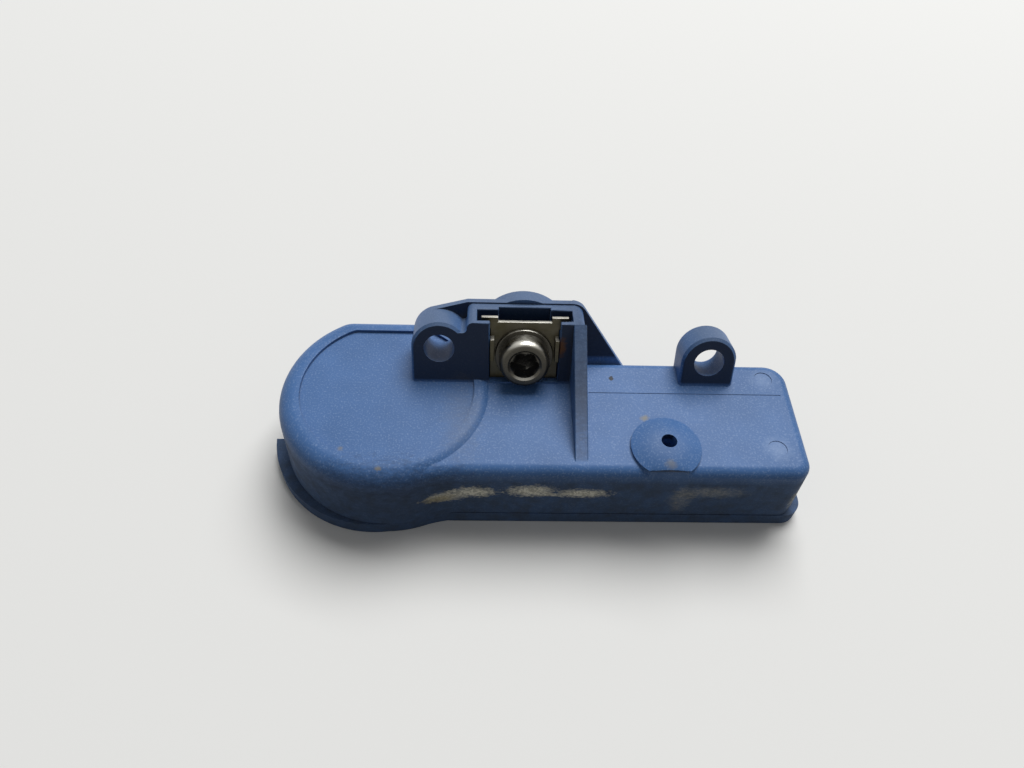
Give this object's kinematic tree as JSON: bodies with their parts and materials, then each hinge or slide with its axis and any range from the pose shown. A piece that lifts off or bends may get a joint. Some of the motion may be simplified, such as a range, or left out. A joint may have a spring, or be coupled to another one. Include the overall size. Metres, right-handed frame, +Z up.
{
  "type": "tyre pressure sensor",
  "caption": "Wheel-mounted tyre pressure sensor: moulded casing with a round cell drum, domed air port, holed ears and a leaning tower whose clip and captive screw take a valve.",
  "frame": {"origin": "on the base's underside, below the middle of the whole part's box", "axes": "+X along the casing from the drum to the flat end, +Y towards the valve side, +Z up from the base"},
  "size_m": [0.061, 0.0234, 0.0172],
  "materials": {
    "blue_moulding": "fine moulded grain, satin",
    "stainless_sheet": "rolled sheet with a warm tarnish",
    "plated_steel": "turned and plated",
    "board_laminate": "solder mask",
    "cell_can": "drawn can",
    "nickel_strip": "rolled strip",
    "chip_resin": "moulded resin",
    "seal_rubber": "matt",
    "ferrite": "sintered, dull",
    "copper_winding": "enamelled wire",
    "tinned_strip": "tinned",
    "crystal_can": "lid of a ceramic pack",
    "capacitor_ceramic": "ceramic with tinned ends",
    "resistor_ceramic": "ceramic with tinned ends",
    "inductor_ceramic": "ceramic with tinned ends"
  },
  "bodies": {
    "casing": {"upper_housing": "blue_moulding", "base_cover": "blue_moulding", "retaining_clip": "stainless_sheet", "screw_washer": "plated_steel", "circuit_board": "board_laminate", "coin_cell": "cell_can", "cell_negative_tab": "nickel_strip", "cell_positive_tab": "nickel_strip", "pressure_sensor_chip": "chip_resin", "port_seal": "seal_rubber", "wake_up_coil_core": "ferrite", "wake_up_coil_winding": "copper_winding", "transmit_antenna": "tinned_strip", "crystal": "crystal_can", "chip_capacitors": "capacitor_ceramic", "chip_resistors": "resistor_ceramic", "chip_inductors": "inductor_ceramic"},
    "screw": {"valve_screw": "plated_steel"}
  },
  "joints": [
    {"name": "screw_turn", "type": "hinge", "parent": "casing", "child": "screw", "pos_m": [-0.00157, 0.00303, 0.0132], "axis": [0, -0.9373, 0.3486], "continuous": true}
  ]
}
